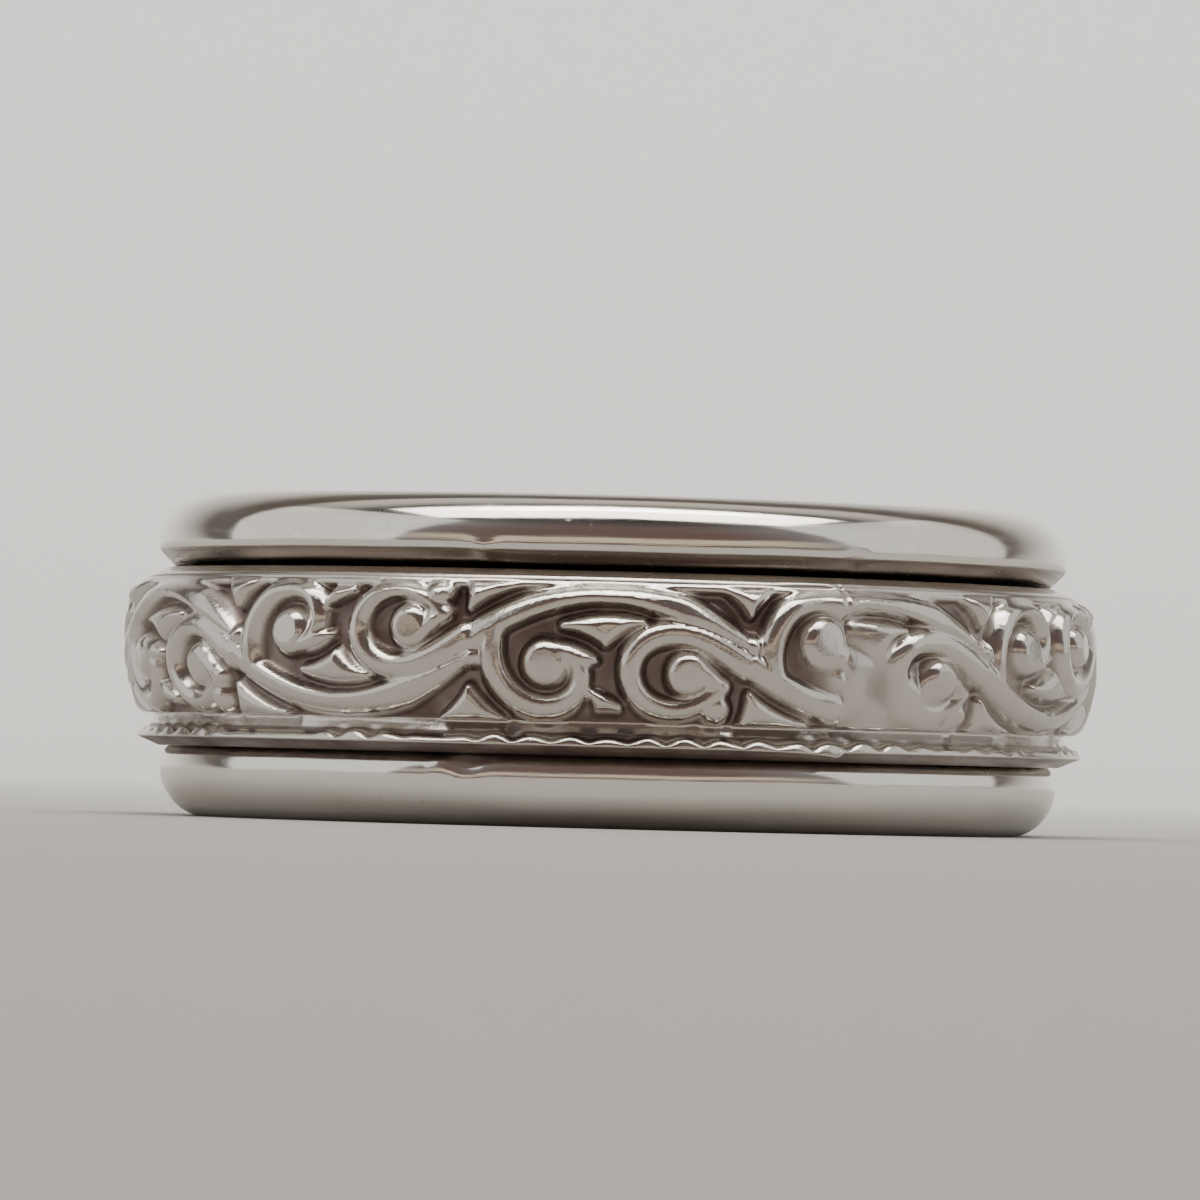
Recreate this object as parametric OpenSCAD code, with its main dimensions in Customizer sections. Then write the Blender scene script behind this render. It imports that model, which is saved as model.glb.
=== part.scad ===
// A spinner ring: a sleeve between two domed rims, and a wider loose band of raised scrolls
// that turns in the channel between them. Millimetres, +Z along the finger, lying on its lower rim.

/* [Sleeve] */
// Height of the whole ring along the finger
ring_h = 7.6; // [6.8:0.1:12]
// Inside diameter, where the finger goes
bore_d = 18.2; // [14:0.1:23]
// Wall of the sleeve under the spinning band
sleeve_wall = 0.9; // [0.7:0.05:1.2]
// Radius that eases the edges of the finger hole
bore_edge_r = 0.2; // [0.1:0.05:0.3]

/* [Rims] */
// How far the upper rim stands out from the sleeve
top_rim_out = 0.8; // [0.6:0.05:1.2]
// How far the lower rim stands out from the sleeve
low_rim_out = 0.65; // [0.55:0.05:1.2]
// Height of the upper rim, from the arris over the channel to the ring's top
top_rim_h = 1.3; // [1.2:0.05:1.5]
// Height of the lower rim, from the ring's bottom to the arris under the channel
low_rim_h = 1.45; // [1.2:0.05:1.6]
// Radius of the domed rim faces
dome_r = 1.15; // [1:0.05:1.2]
// How deep the dome is polished away to the flat land that the ring lies on
land_cut = 0.025; // [0.01:0.005:0.05]
// Slope of the rims' faces inside the channel, from the level
channel_slope = 45; // [35:1:50]

/* [Spinning band] */
// Running gap between the sleeve and the band, at the radius
run_gap = 0.06; // [0.03:0.01:0.1]
// Gap between the band's ends and the sloped faces of the rims, along the finger
end_gap = 0.2; // [0.15:0.01:0.3]
// Thickness of the band's thin upper edge
edge_wall = 0.5; // [0.4:0.05:0.7]
// How far the band's crown stands out past that edge, under the scrolls
crown_out = 0.6; // [0.3:0.05:0.8]
// Height that the scrolls stand up from the crown
relief_h = 0.42; // [0.2:0.02:0.6]
// Height of the plain sloping border over the scrolls
top_border_h = 0.25; // [0.15:0.02:0.4]
// How far the foot of that border stands out past the band's upper edge
border_out = 0.5; // [0.3:0.05:0.7]
// Height over which the tops of the scrolls come down to the border
shoulder_h = 0.15; // [0.1:0.01:0.3]
// Height of the hollow cove under the scrolls
cove_h = 0.35; // [0.25:0.05:0.5]
// How far the skirt's edge stands out past the upper rim
skirt_out = 0.42; // [0.3:0.02:0.6]
// Height by which the skirt's underside rises to its edge
skirt_h = 0.23; // [0.15:0.01:0.35]
// Height of the skirt's outer face, from its edge to the cove
skirt_face_h = 0.2; // [0.1:0.02:0.3]
// How far that face leans in over its height
skirt_lean = 0.08; // [0.04:0.01:0.15]

/* [Scrolls] */
// Number of scrolls round the band, each upside down to the one before
scroll_count = 11; // [9:2:13]
// Place of the band's soldered seam, from the front towards the right
seam_angle = 28; // [0:1:359]
// Where the seam cuts its scroll, as a share of half its length
seam_cut = -0.25; // [-0.5:0.05:0.5]
// Width of the vine where it is widest
vine_w = 0.46; // [0.3:0.02:0.6]
// Radius of a knob in the eye of a volute
knob_r = 0.46; // [0.3:0.02:0.5]

/* [Hidden] */
$fn = 96;

// The sleeve and its rims
bore_r = bore_d / 2;
sleeve_r = bore_r + sleeve_wall;
top_rim_r = sleeve_r + top_rim_out;
low_rim_r = sleeve_r + low_rim_out;
low_arris_z = low_rim_h;
top_arris_z = ring_h - top_rim_h;
slope = tan(channel_slope);

// The band takes its size from the channel and the gaps that let it turn.
// Height over the ring's bottom of the band's two sloped ends, at a radius
function band_top_z(r) = top_arris_z - (top_rim_r - r) * slope - end_gap;
function band_low_z(r) = low_arris_z + (low_rim_r - r) * slope + end_gap;
band_bore_r = sleeve_r + run_gap;
edge_r = band_bore_r + edge_wall;
border_r = edge_r + border_out;
crown_r = edge_r + crown_out;
skirt_r = top_rim_r + skirt_out;
band_top = band_top_z(edge_r);
band_low = band_low_z(low_rim_r);
skirt_z = band_low + skirt_h;
cove_z = skirt_z + skirt_face_h;
field_low = cove_z + cove_h;
field_top = band_top - top_border_h;
field_h = field_top - field_low;
field_mid = (field_top + field_low) / 2;

// The crown's section has three facets. The middle one is level over this share of the field,
// and the outer ones fall away from it: the crown by crown_fall, the tops of the scrolls by less.
crown_flat = 0.45;
crown_fall = 0.35;
scroll_fall = 0.25;
// How deep the scrolls are rooted in the crown, so that band and scrolls are one piece
root = 0.15;

// Scroll places and lengths are shares: across the band, 1 is half the field's height; along it,
// 2 is half a scroll's length.
scroll_r = crown_r + relief_h / 2;
scroll_turn = 360 / scroll_count;
half_pitch = PI * scroll_r / scroll_count;
share_u = half_pitch / 2;
share_v = field_h / 2;
leaf_steps = 3;
knob_sides = 12;
// Slivers thinner than twice this are left out where the pieces of a scroll meet
sliver = 0.01;

// A vine is a ribbon whose bend changes evenly from its start to its middle and on to its end.
// Headings are degrees from the band's length, bends are degrees a share, left turns positive,
// widths are shares of vine_w, and steps is how many straight pieces it is made of.
VINE_COLUMNS = ["name", "u", "v", "heading", "length", "steps",
                "bend a", "bend b", "bend c", "width a", "width b", "width c"];
VINES = [
    ["arch tip",      0.00, -0.83,   0, 2.20,  6,  20,   15,   10, 0.75, 1.05, 0.05],
    ["arch rise",     0.10, -0.83, 182, 2.15,  6, -22,  -18,   -6, 0.75, 0.85, 0.90],
    ["left volute",  -1.58, -0.28, 106, 2.85, 16, -55,  -80, -185, 0.85, 0.85, 0.50],
    ["right volute",  2.04,  0.18, 212, 3.85, 18,  12, -118,  -50, 1.00, 0.85, 0.50],
];

// A knob fills the eye of a volute, and the boss stands alone. Radii are shares of knob_r.
KNOB_COLUMNS = ["name", "u", "v", "radius"];
KNOBS = [
    ["left knob",  -0.84, 0.19, 1.00],
    ["right knob",  1.18, 0.30, 0.95],
    ["boss",        1.60, 0.80, 0.55],
];

// A leaf has a left end, a tip and a right end, and so has a spur, which joins a volute to its
// knob. The two sides at the tip bend inwards by the hollow and the base outwards by the belly,
// both as shares of their own side.
LEAF_COLUMNS = ["name", "left u", "left v", "tip u", "tip v", "right u", "right v",
                "hollow", "belly"];
LEAVES = [
    ["eye leaf",     -0.60, -0.35,  0.00, -0.10,  0.52, -0.42, 0.06, 0.08],
    ["notch leaf",   -0.20,  0.60, -0.08,  0.80,  0.20,  0.80, 0.02, 0.04],
    ["corner leaf",  -1.99, -1.00, -1.93, -0.58, -1.05, -1.00, 0.05, 0.00],
    ["hanging leaf", -2.36,  1.00, -1.94,  0.57, -1.50,  1.00, 0.05, 0.00],
    ["left spur",    -0.77, -0.01, -0.36,  0.22, -0.14,  0.14, 0.00, 0.14],
    ["right spur",    1.12,  0.06,  1.50,  0.50,  1.70,  0.46, 0.00, 0.10],
];

// The value in the named column of a row
function at(row, columns, name) = row[search([name], columns)[0]];
// A place on the band in millimetres, from its shares
function place(row, columns, u, v) = [at(row, columns, u) * share_u, at(row, columns, v) * share_v];

// Heading along a vine, after a share t of its length
function heading(row, t) =
    let (length = at(row, VINE_COLUMNS, "length"),
         a = at(row, VINE_COLUMNS, "bend a"),
         b = at(row, VINE_COLUMNS, "bend b"),
         c = at(row, VINE_COLUMNS, "bend c"),
         first = min(t, 0.5),
         second = max(t - 0.5, 0))
    at(row, VINE_COLUMNS, "heading")
        + length * (a * first + (b - a) * first * first + b * second + (c - b) * second * second);

// Width of a vine, after a share t of its length
function width(row, t) =
    vine_w * lookup(t, [[0, at(row, VINE_COLUMNS, "width a")],
                        [0.5, at(row, VINE_COLUMNS, "width b")],
                        [1, at(row, VINE_COLUMNS, "width c")]]);

// The middle line of a vine
function middle_line(row) =
    let (steps = at(row, VINE_COLUMNS, "steps"),
         step = at(row, VINE_COLUMNS, "length") / steps)
    [for (i = 0, p = place(row, VINE_COLUMNS, "u", "v"); i <= steps;
          p = p + [step * share_u * cos(heading(row, (i + 0.5) / steps)),
                   step * share_v * sin(heading(row, (i + 0.5) / steps))],
          i = i + 1) p];

function unit(v) = v / norm(v);
function left_of(v) = [-v[1], v[0]];
// Points on the flat pattern, moved to where they are seen from straight over its middle once
// the pattern is bent round the band
function bent(points) = [for (p = points) [scroll_r * sin(p[0] / scroll_r * 180 / PI), p[1]]];

module vine(row) {
    line = middle_line(row);
    steps = at(row, VINE_COLUMNS, "steps");
    reach = [for (i = [0 : steps])
        let (ahead = line[min(i + 1, steps)] - line[max(i - 1, 0)])
        left_of(unit(ahead)) * width(row, i / steps) / 2];
    polygon(bent(concat(
        [for (i = [0 : steps]) line[i] + reach[i]],
        [for (i = [steps : -1 : 0]) line[i] - reach[i]])));
}

module knob(row) {
    middle = place(row, KNOB_COLUMNS, "u", "v");
    r = knob_r * at(row, KNOB_COLUMNS, "radius");
    polygon(bent([for (i = [0 : knob_sides - 1])
        let (turn = i * 360 / knob_sides)
        middle + r * [cos(turn), sin(turn)]]));
}

module leaf(row) {
    left = place(row, LEAF_COLUMNS, "left u", "left v");
    tip = place(row, LEAF_COLUMNS, "tip u", "tip v");
    right = place(row, LEAF_COLUMNS, "right u", "right v");
    hollow = at(row, LEAF_COLUMNS, "hollow");
    belly = at(row, LEAF_COLUMNS, "belly");
    hangs = sign(left[1] - tip[1]);
    // A bowed side from a to b, without its last point
    function side(a, b, bow) = [for (i = [0 : leaf_steps - 1])
        let (t = i / leaf_steps)
        a + (b - a) * t + left_of(b - a) * bow * hangs * 4 * t * (1 - t)];
    polygon(bent(concat(
        side(left, tip, hollow),
        side(tip, right, hollow),
        side(right, left, -belly))));
}

// One scroll standing the right way up, about its own middle
module scroll() {
    offset(delta = sliver) offset(delta = -sliver) {
        for (row = VINES) vine(row);
        for (row = KNOBS) knob(row);
        for (row = LEAVES) leaf(row);
    }
}

// The scroll that the seam cuts: the right way up before the seam, upside down after it
module seam_scroll() {
    cut = seam_cut * half_pitch;
    // Half of the pattern's plane, on the side of the cut that is asked for
    module half(side) {
        translate([side < 0 ? cut - 2 * half_pitch : cut, -field_h])
            square([2 * half_pitch, 2 * field_h]);
    }
    offset(delta = sliver) offset(delta = -sliver) {
        intersection() {
            scroll();
            half(-1);
        }
        intersection() {
            mirror([0, 1]) scroll();
            half(1);
        }
    }
}

// Outline of a revolved shell over the field: its outside stands out by rise and falls by fall,
// and its inside is the crown less the root
module scroll_shell() {
    level = crown_flat * field_h / 2;
    ends = field_h / 2;
    polygon([
        [crown_r - crown_fall - root, field_mid - ends],
        [crown_r + relief_h - scroll_fall, field_mid - ends],
        [crown_r + relief_h, field_mid - level],
        [crown_r + relief_h, field_mid + level],
        [crown_r + relief_h - scroll_fall, field_mid + ends - shoulder_h],
        [border_r, field_mid + ends],
        [crown_r - crown_fall - root, field_mid + ends],
        [crown_r - root, field_mid + level],
        [crown_r - root, field_mid - level]]);
}

// All the scrolls round the band, counted from the one at the seam
module scrolls() {
    first = seam_angle - seam_cut * scroll_turn / 2;
    inside = crown_r - crown_fall - root - 1;
    outside = crown_r + relief_h + 0.5;
    intersection() {
        rotate_extrude() scroll_shell();
        for (i = [0 : scroll_count - 1])
            rotate([0, 0, first + i * scroll_turn])
                translate([0, -inside, field_mid])
                    rotate([90, 0, 0])
                        linear_extrude(outside - inside) {
                            if (i == 0) seam_scroll();
                            else if (i % 2 == 1) scroll();
                            else mirror([0, 1]) scroll();
                        }
    }
}

// Outline of one rim, lying on its outer face: a dome with a narrow flat land, the eased edge
// of the finger hole, and the slope into the channel
module rim_outline(rim_h, rim_out) {
    dome_z = dome_r - land_cut;
    rim_r = sleeve_r + rim_out;
    difference() {
        union() {
            intersection() {
                translate([rim_r - dome_r, dome_z]) circle(dome_r);
                translate([bore_r, 0]) square([rim_r - bore_r, rim_h]);
            }
            translate([bore_r, 0]) square([rim_r - dome_r - bore_r, rim_h]);
            translate([bore_r, dome_z]) square([rim_r - bore_r, rim_h - dome_z]);
            polygon([
                [bore_r, rim_h],
                [rim_r, rim_h],
                [sleeve_r, rim_h + rim_out * slope],
                [bore_r, rim_h + rim_out * slope]]);
        }
        difference() {
            translate([bore_r - 1, -1]) square(1 + bore_edge_r);
            translate([bore_r + bore_edge_r, bore_edge_r]) circle(bore_edge_r);
        }
    }
}

// The sleeve and its two rims, soldered into one piece
module base_ring() {
    color([0.78, 0.77, 0.74])
        rotate_extrude() {
            rim_outline(low_rim_h, low_rim_out);
            translate([0, ring_h]) mirror([0, 1]) rim_outline(top_rim_h, top_rim_out);
            translate([bore_r, low_rim_h])
                square([sleeve_wall, top_arris_z - low_rim_h]);
        }
}

// The loose band with its scrolls, its cove and its flared skirt
module spinner_band() {
    level = crown_flat * field_h / 2;
    color([0.78, 0.77, 0.74]) {
        rotate_extrude()
            difference() {
                polygon([
                    [band_bore_r, band_low_z(band_bore_r)],
                    [low_rim_r, band_low],
                    [skirt_r, skirt_z],
                    [skirt_r - skirt_lean, cove_z],
                    [skirt_r - skirt_lean, field_low],
                    [crown_r - crown_fall, field_low],
                    [crown_r, field_mid - level],
                    [crown_r, field_mid + level],
                    [crown_r - crown_fall, field_top],
                    [border_r, field_top],
                    [edge_r, band_top],
                    [band_bore_r, band_top_z(band_bore_r)]]);
                translate([skirt_r - skirt_lean, field_low]) circle(cove_h);
            }
        scrolls();
    }
}

base_ring();
spinner_band();
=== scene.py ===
# %% [markdown]
# # A spinner ring
#
# A silver ring in two pieces. The base is a plain sleeve between two polished, domed rims. The
# band is a strip of struck scrollwork, bent round the sleeve and soldered, loose enough to spin.
# The solids come from model.glb. This script gives both pieces their finished surfaces, their
# silver, and a small studio. Lengths are in millimetres here and become metres in the meshes.

# %% Load the solids
import math

import bpy
import numpy as np
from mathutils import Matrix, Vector


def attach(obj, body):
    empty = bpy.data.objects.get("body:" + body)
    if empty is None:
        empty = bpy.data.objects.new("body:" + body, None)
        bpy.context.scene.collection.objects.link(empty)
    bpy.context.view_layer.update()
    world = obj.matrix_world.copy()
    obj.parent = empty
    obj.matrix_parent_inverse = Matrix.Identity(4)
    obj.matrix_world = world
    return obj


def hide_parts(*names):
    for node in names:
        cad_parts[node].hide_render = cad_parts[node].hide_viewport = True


MM = 0.001
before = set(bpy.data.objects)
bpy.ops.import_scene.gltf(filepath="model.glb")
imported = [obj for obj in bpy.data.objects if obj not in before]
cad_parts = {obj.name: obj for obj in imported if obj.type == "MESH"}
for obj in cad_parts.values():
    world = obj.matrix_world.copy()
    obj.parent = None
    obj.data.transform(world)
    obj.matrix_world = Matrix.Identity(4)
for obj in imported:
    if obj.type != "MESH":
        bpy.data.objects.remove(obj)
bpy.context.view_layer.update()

# %% [markdown]
# ## Sizes
#
# The named sizes are those of the solids, so a scroll sits on the same crown, and the band keeps
# the same gap to the sleeve. The ring lies on its lower rim, with +Z along the finger.

# %% Sizes of the base ring
ring_h = 7.6
bore_r = 9.1
bore_edge_r = 0.2
sleeve_r = 10.0
top_rim_r = 10.8
low_rim_r = 10.65
top_arris_z = 6.3
low_arris_z = 1.45
dome_r = 1.15
land_cut = 0.025
print(f"base ring {ring_h} mm high, {2 * top_rim_r:.1f} mm across its upper rim")

# %% Sizes of the band
run_gap = 0.06
end_gap = 0.2
edge_wall = 0.5
border_out = 0.5
crown_out = 0.6
relief_h = 0.42
top_border_h = 0.25
skirt_out = 0.42
skirt_h = 0.23
skirt_face_h = 0.2
skirt_lean = 0.08
cove_h = 0.35

band_bore_r = sleeve_r + run_gap
edge_r = band_bore_r + edge_wall
border_r = edge_r + border_out
crown_r = edge_r + crown_out
skirt_r = top_rim_r + skirt_out
band_top = top_arris_z - (top_rim_r - edge_r) - end_gap
band_low = low_arris_z + end_gap
skirt_z = band_low + skirt_h
cove_z = skirt_z + skirt_face_h
cove_r = skirt_r - skirt_lean - cove_h
field_low = cove_z + cove_h
field_top = band_top - top_border_h
field_mid = (field_low + field_top) / 2
half_field = (field_top - field_low) / 2
print(f"band {band_low:.2f} to {band_top:.2f} mm high, its field {2 * half_field:.2f} mm")

# %% Places of the scrolls and of the seam
scroll_count = 11
seam_angle = 28.0
seam_cut = -0.25
scroll_r = crown_r + relief_h / 2
half_pitch = math.pi * scroll_r / scroll_count
seam_u = seam_cut * half_pitch
share_u = half_pitch / 2
share_v = half_field
print(f"a scroll is {2 * half_pitch:.2f} mm long, and the seam lies at {seam_angle} degrees")

# %% [markdown]
# ## The scroll as drawn lines
#
# A running scroll is a vine that rises and dips along the band, throwing off a volute into each
# hollow. The die that struck the strip held one such figure, turned upside down from one to the
# next. It is described here as the engraver would draw it: vines that bend evenly from start to
# end, round knobs in the eyes of the volutes, and small three-cornered leaves that fill the gaps.
# Places and lengths are shares: across the band 1 is half the field's height, and along it 2 is
# half a scroll. Headings are degrees, and bends are degrees a share, left turns positive. Flute is
# how deep the vine's top is hollowed, and tilt is how far its left edge is raised, in millimetres.

# %% The tables of vines, knobs and leaves
VINE_W = 0.46
KNOB_R = 0.46
VINE_COLUMNS = ("name", "u", "v", "heading", "length", "bend_a", "bend_b", "bend_c",
                "width_a", "width_b", "width_c", "flute", "tilt")
VINES = [
    ("arch tip", 0.00, -0.83, 0, 2.20, 20, 15, 10, 0.75, 1.05, 0.05, 0.045, 0.06),
    ("arch rise", 0.10, -0.83, 182, 2.15, -22, -18, -6, 0.75, 0.85, 0.90, 0.045, -0.06),
    ("left volute", -1.58, -0.28, 106, 2.85, -55, -80, -185, 0.85, 0.85, 0.50, 0.015, 0.0),
    ("right volute", 2.04, 0.18, 212, 3.85, 12, -118, -50, 1.00, 0.85, 0.50, 0.015, 0.0),
]
KNOB_COLUMNS = ("name", "u", "v", "radius")
KNOBS = [
    ("left knob", -0.84, 0.19, 1.00),
    ("right knob", 1.18, 0.30, 0.95),
    ("boss", 1.60, 0.80, 0.55),
    ("joint", -1.90, 0.12, 0.30),
]
LEAF_COLUMNS = ("name", "left_u", "left_v", "tip_u", "tip_v", "right_u", "right_v",
                "hollow", "belly")
LEAVES = [
    ("eye leaf", -0.60, -0.35, 0.00, -0.10, 0.52, -0.42, 0.06, 0.08),
    ("notch leaf", -0.20, 0.60, -0.08, 0.80, 0.20, 0.80, 0.02, 0.04),
    ("corner leaf", -1.99, -1.00, -1.93, -0.58, -1.05, -1.00, 0.05, 0.00),
    ("hanging leaf", -2.36, 1.00, -1.94, 0.57, -1.50, 1.00, 0.05, 0.00),
    ("left spur", -0.77, -0.01, -0.36, 0.22, -0.14, 0.14, 0.00, 0.14),
    ("right spur", 1.12, 0.06, 1.50, 0.50, 1.70, 0.46, 0.00, 0.10),
]


def rows(columns, table):
    """The table's rows as dictionaries, so that each value is read by its column's name."""
    return [dict(zip(columns, row)) for row in table]


print(len(VINES), "vines,", len(KNOBS), "knobs,", len(LEAVES), "leaves and spurs")

# %% [markdown]
# ## From lines to depth
#
# What the surface needs is one number at every point: how deep inside a scroll the point lies,
# in millimetres, negative outside. For a vine that is its half width less the distance to its
# middle line. A signed distance like this gives rounded shoulders of any width, and lets shapes
# that touch melt into each other as metal does under a die.

# %% How deep a point lies inside a vine, a knob or a leaf


def heading(vine, t):
    """Heading of a vine in radians, after a share t of its length."""
    first = np.minimum(t, 0.5)
    second = np.maximum(t - 0.5, 0)
    a, b, c = vine["bend_a"], vine["bend_b"], vine["bend_c"]
    turned = a * first + (b - a) * first**2 + b * second + (c - b) * second**2
    return np.radians(vine["heading"] + vine["length"] * turned)


def vine_depth(points, vine, steps=150):
    """Depth inside a vine, and how far across it each point lies, from 1 on its left to -1."""
    t = (np.arange(steps) + 0.5) / steps
    step = vine["length"] / steps
    u = (vine["u"] + np.cumsum(step * np.cos(heading(vine, t)))) * share_u
    v = (vine["v"] + np.cumsum(step * np.sin(heading(vine, t)))) * share_v
    widths = (vine["width_a"], vine["width_b"], vine["width_c"])
    half = np.interp(t, (0, 0.5, 1), widths) * VINE_W / 2
    away = np.hypot(points[:, :1] - u, points[:, 1:] - v)
    nearest = np.argmin(away - half, axis=1)
    gap = away[np.arange(len(points)), nearest]
    course = heading(vine, t)[nearest]
    du, dv = points[:, 0] - u[nearest], points[:, 1] - v[nearest]
    side = np.cos(course) * dv - np.sin(course) * du
    return half[nearest] - gap, np.clip(side / half[nearest], -1, 1)


def knob_depth(points, knob):
    """Depth inside a knob."""
    away = np.hypot(points[:, 0] - knob["u"] * share_u, points[:, 1] - knob["v"] * share_v)
    return knob["radius"] * KNOB_R - away


def leaf_outline(leaf, steps=6):
    """Corners of a leaf whose three sides are bowed."""
    corners = [np.array([leaf[k + "_u"] * share_u, leaf[k + "_v"] * share_v])
               for k in ("left", "tip", "right")]
    hangs = np.sign(corners[0][1] - corners[1][1])
    line = []
    for a, b, bow in zip(corners, corners[1:] + corners[:1],
                         (leaf["hollow"], leaf["hollow"], -leaf["belly"])):
        for t in np.arange(steps) / steps:
            side = b - a
            left = np.array([-side[1], side[0]])
            line.append(a + side * t + left * bow * hangs * 4 * t * (1 - t))
    return np.array(line)


def leaf_depth(points, leaf):
    """Depth inside a leaf."""
    line = leaf_outline(leaf)
    ahead = np.roll(line, -1, axis=0)
    side = ahead - line
    reach = points[:, None, :] - line
    t = np.clip((reach * side).sum(2) / (side**2).sum(1), 0, 1)
    away = np.linalg.norm(reach - t[..., None] * side, axis=2).min(1)
    crosses = (line[:, 1] > points[:, 1:]) != (ahead[:, 1] > points[:, 1:])
    with np.errstate(divide="ignore", invalid="ignore"):
        where = line[:, 0] + (points[:, 1:] - line[:, 1]) * side[:, 0] / side[:, 1]
    inside = (crosses & (points[:, :1] < where)).sum(1) % 2 == 1
    return np.where(inside, away, -away)

# %% Depth of the whole pattern
FAR_OUTSIDE = -9.0
MELT = 0.07
SHAPE_BLEND = (-0.10, 0.10)
FLAT_BLEND = (-0.06, 0.02)


def over(x, low, high):
    """0 below low, 1 above high, and a smooth rise between."""
    t = np.clip((x - low) / (high - low), 0, 1)
    return t * t * (3 - 2 * t)


def melt(a, b):
    """The larger of two depths, with the crease between them filled."""
    h = np.maximum(MELT - np.abs(a - b), 0) / MELT
    return np.maximum(a, b) + h * h * MELT / 4


def scroll_depth(points):
    """Depth inside one upright scroll, and how far its top is shaped up or down there."""
    depth = np.full(len(points), FAR_OUTSIDE)
    shape = np.zeros(len(points))
    for vine in rows(VINE_COLUMNS, VINES):
        inside, across = vine_depth(points, vine)
        lift = vine["tilt"] * across - vine["flute"] * (1 - across**2)
        shape = shape + (lift - shape) * over(inside - depth, *SHAPE_BLEND)
        depth = melt(depth, inside)
    flat_topped = [knob_depth(points, knob) for knob in rows(KNOB_COLUMNS, KNOBS)]
    flat_topped += [leaf_depth(points, leaf) for leaf in rows(LEAF_COLUMNS, LEAVES)]
    for inside in flat_topped:
        shape = shape * over(depth - inside, *FLAT_BLEND)
        depth = melt(depth, inside)
    return depth, shape


def pattern_depth(points):
    """Depth in the endless pattern: the upright scroll with its upside-down neighbours."""
    depth, shape = scroll_depth(points)
    for side in (-1, 1):
        near, near_shape = scroll_depth((points - [side * 2 * half_pitch, 0]) * [1, -1])
        shape = shape + (near_shape - shape) * over(near - depth, *SHAPE_BLEND)
        depth = melt(depth, near)
    return depth, shape


probe = pattern_depth(np.array([[0.0, -0.83 * share_v], [0.0, 0.0]]))[0]
print("depth in the arch", round(probe[0], 3), "and on the ground", round(probe[1], 3))

# %% [markdown]
# ## One length of strip
#
# The band is made the way the real one was: first a flat strip, then bent round. One tile of the
# strip is a closed loop of rows across (scrolls, border, bore, skirt, cove) and a number of
# columns along. The scrolled field needs fine columns, the plain faces need half as many, and a
# row of three-sided faces joins the two. In the flat tile x runs along the strip, y is the height
# along the finger, and z the distance from the finger's axis.

# %% Section of the strip
GROUND_FALL = 0.35
GROUND_BOW = 2.2
TOP_FALL = 0.17
LOW_FALL = 0.36
SHOULDER_SLOPE = 2.3
SHOULDER_BLEND = 0.5


def arc(centre_r, centre_z, radius, start, end, steps):
    """Points (r, z) on an arc, angles in degrees from +r towards +z."""
    turn = np.radians(np.linspace(start, end, steps + 1))
    return [(centre_r + radius * math.cos(a), centre_z + radius * math.sin(a)) for a in turn]


def ground_r(v):
    """Distance of the ground between the scrolls from the axis; below, it runs into the cove."""
    fall = np.where(v > 0, GROUND_FALL, crown_r - cove_r)
    return crown_r - fall * np.abs(v / half_field) ** GROUND_BOW


def top_r(v):
    """Distance of the scrolls' tops: a barrel, well rounded over to the border above it."""
    fall = np.where(v > 0, TOP_FALL, LOW_FALL)
    barrel = crown_r + relief_h - fall * (v / half_field) ** 2
    shoulder = border_r + SHOULDER_SLOPE * (half_field - v)
    h = np.maximum(SHOULDER_BLEND - np.abs(barrel - shoulder), 0) / SHOULDER_BLEND
    return np.minimum(barrel, shoulder) - h * h * SHOULDER_BLEND / 4


# From the field's upper edge over the border, down the bore and out to the skirt and its cove
border_rows = [
    (border_r - 0.02, field_top + 0.012), (edge_r + 0.25, band_top - 0.12),
    (edge_r + 0.05, band_top - 0.015), (edge_r, band_top), (edge_r - 0.04, band_top - 0.03)]
bore_rows = [
    (band_bore_r + 0.25, band_top - 0.25), (band_bore_r, band_top - 0.5),
    (band_bore_r, band_low + 2.2), (band_bore_r, band_low + low_rim_r - band_bore_r)]
skirt_rows = [
    (low_rim_r, band_low), (low_rim_r + 0.04, band_low), (skirt_r - 0.05, skirt_z - 0.03),
    (skirt_r - 0.01, skirt_z - 0.01), (skirt_r, skirt_z + 0.02), (skirt_r - 0.03, skirt_z + 0.1),
    (skirt_r - 0.06, cove_z - 0.02), (skirt_r - 0.085, cove_z)]
cove_rows = arc(skirt_r - skirt_lean, field_low, cove_h, 262, 184, 7)
plain_rows = border_rows + bore_rows + skirt_rows + cove_rows
print(len(plain_rows), "plain rows in the section")

# %% Points of the scrolled field
FIELD_ROWS = 54
FIELD_COLUMNS = 132
WALL_FOOT = -0.20
BROW = -0.02
SHOULDER = 0.13
BROW_RISE = 0.73
BROW_BOW = 0.25
SNAP_STEP = 0.004
SNAP_REACH = 0.42
LEAST_STEEP = 0.25


def wall_rise(depth):
    """How high the surface stands: 0 on the ground, a steep wall, a rounded edge, and 1 on top."""
    share = np.clip((depth - WALL_FOOT) / (BROW - WALL_FOOT), 0, 1)
    wall = 0.5 * share + 0.5 * share * share * (3 - 2 * share)
    past = np.clip((depth - BROW) / (SHOULDER - BROW), 0, 1)
    return BROW_RISE * wall + (1 - BROW_RISE) * past * (1 + BROW_BOW - BROW_BOW * past)


def snap(points, depth_of, cell):
    """Moves points that lie near an edge of a wall onto it, so that edges run clean."""
    here = depth_of(points)
    slope = [depth_of(points + move) - depth_of(points - move)
             for move in (np.array([SNAP_STEP, 0]), np.array([0, SNAP_STEP]))]
    slope = np.stack(slope, axis=1) / (2 * SNAP_STEP)
    steep = np.maximum((slope**2).sum(1), LEAST_STEEP)
    moves = np.zeros_like(points)
    for level in (WALL_FOOT, BROW, SHOULDER):
        push = (level - here)[:, None] * slope / steep[:, None]
        close = np.abs(push).max(1) < SNAP_REACH * cell
        moves[close] = push[close]
    return points + moves


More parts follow.
